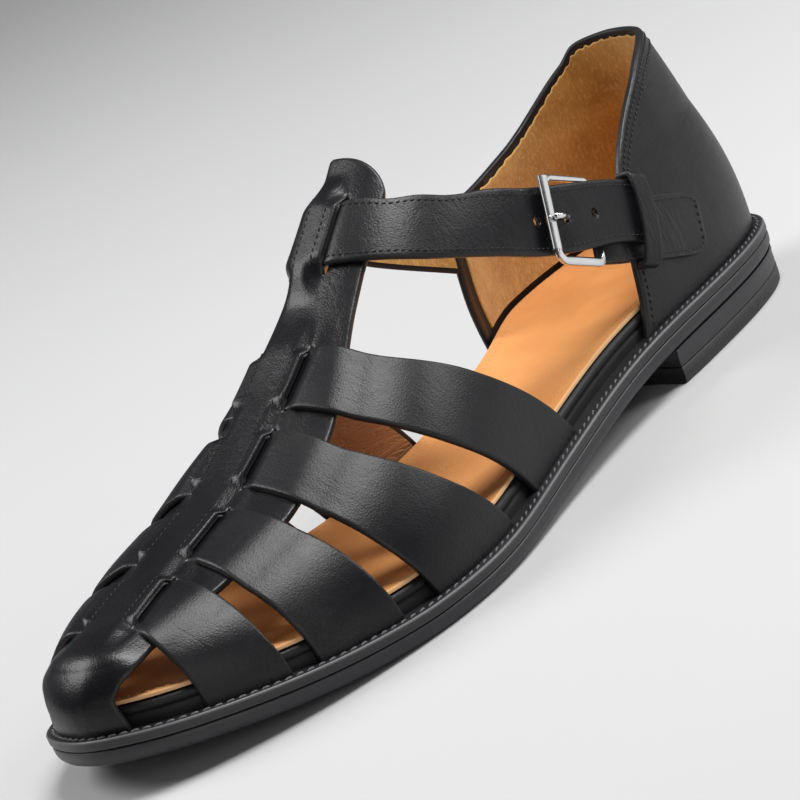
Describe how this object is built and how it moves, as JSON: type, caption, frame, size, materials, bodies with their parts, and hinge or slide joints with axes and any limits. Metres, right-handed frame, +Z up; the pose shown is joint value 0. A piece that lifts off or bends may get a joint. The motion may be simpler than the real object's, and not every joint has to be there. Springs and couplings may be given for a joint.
{
  "type": "fisherman sandal",
  "caption": "Black leather fisherman sandal for the left foot, with a closed toe cap, woven side straps over a centre strap, a heel counter and a buckled ankle strap.",
  "frame": {"origin": "centre of the footprint's bounding box, on the floor", "axes": "+Y from the toe to the heel along the sole's length, -Y is the toe, +X the lateral side with the buckle, +Z up"},
  "size_m": [0.1025, 0.3, 0.1017],
  "materials": {
    "sole_edge": "satin",
    "welt_edge": "satin",
    "heel_edge": "satin",
    "lift_rubber": "satin",
    "rim_leather": "satin",
    "tan_leather": "satin",
    "black_leather": "satin",
    "quarter_leather": "satin",
    "strap_leather": "satin",
    "tab_leather": "satin",
    "keeper_leather": "satin",
    "polished_steel": "polished",
    "prong_steel": "polished"
  },
  "bodies": {
    "root": {"Outsole": "sole_edge", "Welt": "welt_edge", "Heel": "heel_edge", "TopLift": "lift_rubber", "Platform": "rim_leather", "Insole": "tan_leather", "Cage": "black_leather", "Quarter": "quarter_leather", "AnkleStrap": "strap_leather", "StrapBase": "tab_leather", "Keeper": "keeper_leather", "Buckle": "polished_steel", "Prong": "prong_steel"}
  },
  "joints": []
}
